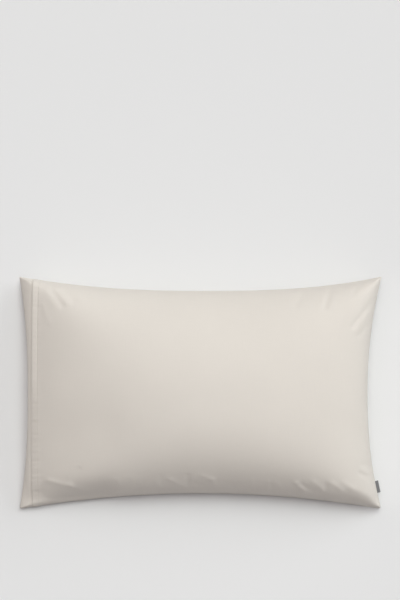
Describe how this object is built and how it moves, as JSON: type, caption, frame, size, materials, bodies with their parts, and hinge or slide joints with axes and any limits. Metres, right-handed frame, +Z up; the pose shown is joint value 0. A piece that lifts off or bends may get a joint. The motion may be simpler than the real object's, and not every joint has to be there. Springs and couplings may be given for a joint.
{
  "type": "pillowcase",
  "caption": "Plain cotton pillowcase filled by its pillow and lying on its back, with a hemmed open end over a turned-in strip and a small blank side label.",
  "frame": {"origin": "middle of the box at the flat underside, where the case lies on the ground", "axes": "+X along the case to its closed end, +Y across it to the long side away from the label, +Z up out of the front"},
  "size_m": [0.7252, 0.466, 0.1648],
  "materials": {
    "cotton": "fine smooth plain-weave cotton in pale warm ivory, matt with a faint sheen",
    "label_ribbon": "blank woven mid-grey ribbon, matt"
  },
  "bodies": {
    "root": {"case_body": "cotton", "front_panel": "cotton", "label": "label_ribbon"}
  },
  "joints": []
}
